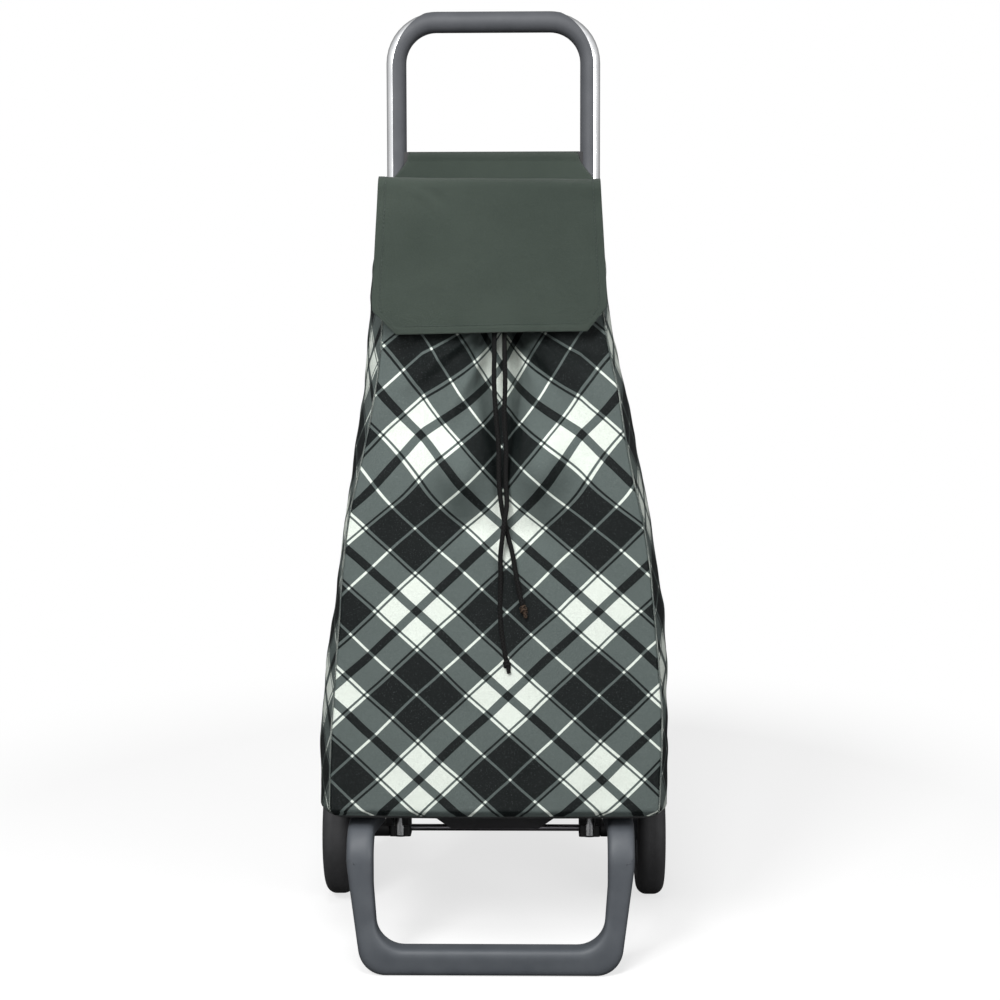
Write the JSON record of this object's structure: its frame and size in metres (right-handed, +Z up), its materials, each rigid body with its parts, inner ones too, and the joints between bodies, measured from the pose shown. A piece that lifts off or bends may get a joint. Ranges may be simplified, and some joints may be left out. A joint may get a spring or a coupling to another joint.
{
  "type": "shopping trolley",
  "caption": "Folding shopping trolley: leaning aluminium handle frame, plaid drawstring bag with plain lid flap, front foot loop and foam wheels.",
  "frame": {"origin": "on the floor, under the middle of the overall box", "axes": "+Z up, front faces -Y, +X to the right when seen from the front"},
  "size_m": [0.397, 0.362, 1.025],
  "materials": {
    "aluminium_tube": "bright anodised",
    "grip": "satin grey",
    "black_plastic": "matt black",
    "zinc_screws": "zinc plated",
    "beam_plastic": "satin charcoal",
    "axle_steel": "bare steel",
    "plaid_fabric": "printed bias plaid",
    "bag_floor_fabric": "coated black",
    "plain_fabric": "plain green-grey",
    "board": "flexible sheet",
    "strap_webbing": "black webbing",
    "cord": "braided black",
    "cord_tip": "braided dark brown",
    "loop_plastic": "satin slate grey",
    "tyre_foam": "matt foam",
    "rim_plastic": "satin grey",
    "bush": "natural white"
  },
  "bodies": {
    "frame": {"frame_tube": "aluminium_tube", "handle_grip": "grip", "tube_plug_left": "black_plastic", "tube_plug_right": "black_plastic", "tube_socket_left": "black_plastic", "tube_socket_right": "black_plastic", "socket_screws": "zinc_screws", "axle_beam": "beam_plastic", "axle_rod": "axle_steel", "axle_spacer_left": "black_plastic", "axle_spacer_right": "black_plastic", "axle_washers": "zinc_screws", "hinge_pin_left": "zinc_screws", "hinge_pin_right": "zinc_screws", "hanger_bar": "black_plastic", "bag_front_panel": "plaid_fabric", "bag_side_panel_left": "plaid_fabric", "bag_side_panel_right": "plaid_fabric", "bag_bottom_panel": "bag_floor_fabric", "bag_base_stiffener": "board", "bag_back_panel": "plain_fabric", "mouth_casing": "plaid_fabric", "bag_straps": "strap_webbing", "strap_snaps": "zinc_screws", "cord_grommet": "black_plastic", "drawstring_long": "cord", "drawstring_short": "cord", "cord_knot_long": "cord", "cord_knot_short": "cord_tip"},
    "lid": {"lid_flap": "plain_fabric", "lid_binding": "plain_fabric"},
    "foot": {"foot_loop": "loop_plastic"},
    "wheel_left": {"tyre_left": "tyre_foam", "wheel_rim_left": "rim_plastic", "hub_bush_left": "bush", "hub_cap_left": "rim_plastic"},
    "wheel_right": {"tyre_right": "tyre_foam", "wheel_rim_right": "rim_plastic", "hub_bush_right": "bush", "hub_cap_right": "rim_plastic"}
  },
  "joints": [
    {"name": "foot_fold", "type": "hinge", "parent": "frame", "child": "foot", "pos_m": [0, 0.02062, 0.11123], "axis": [-1, 0, 0], "range_deg": [0, 80], "deforming": ["bag_front_panel", "bag_side_panel_left", "bag_side_panel_right", "bag_bottom_panel", "bag_base_stiffener", "mouth_casing", "cord_grommet", "drawstring_long", "drawstring_short", "cord_knot_long", "cord_knot_short"]},
    {"name": "lid_open", "type": "hinge", "parent": "frame", "child": "lid", "pos_m": [0, 0.1314, 0.8271], "axis": [-1, 0, 0], "range_deg": [0, 85]},
    {"name": "wheel_spin_left", "type": "hinge", "parent": "frame", "child": "wheel_left", "pos_m": [-0.1825, 0.06844, 0.077], "axis": [1, 0, 0], "continuous": true},
    {"name": "wheel_spin_right", "type": "hinge", "parent": "frame", "child": "wheel_right", "pos_m": [0.1825, 0.06844, 0.077], "axis": [1, 0, 0], "continuous": true}
  ]
}
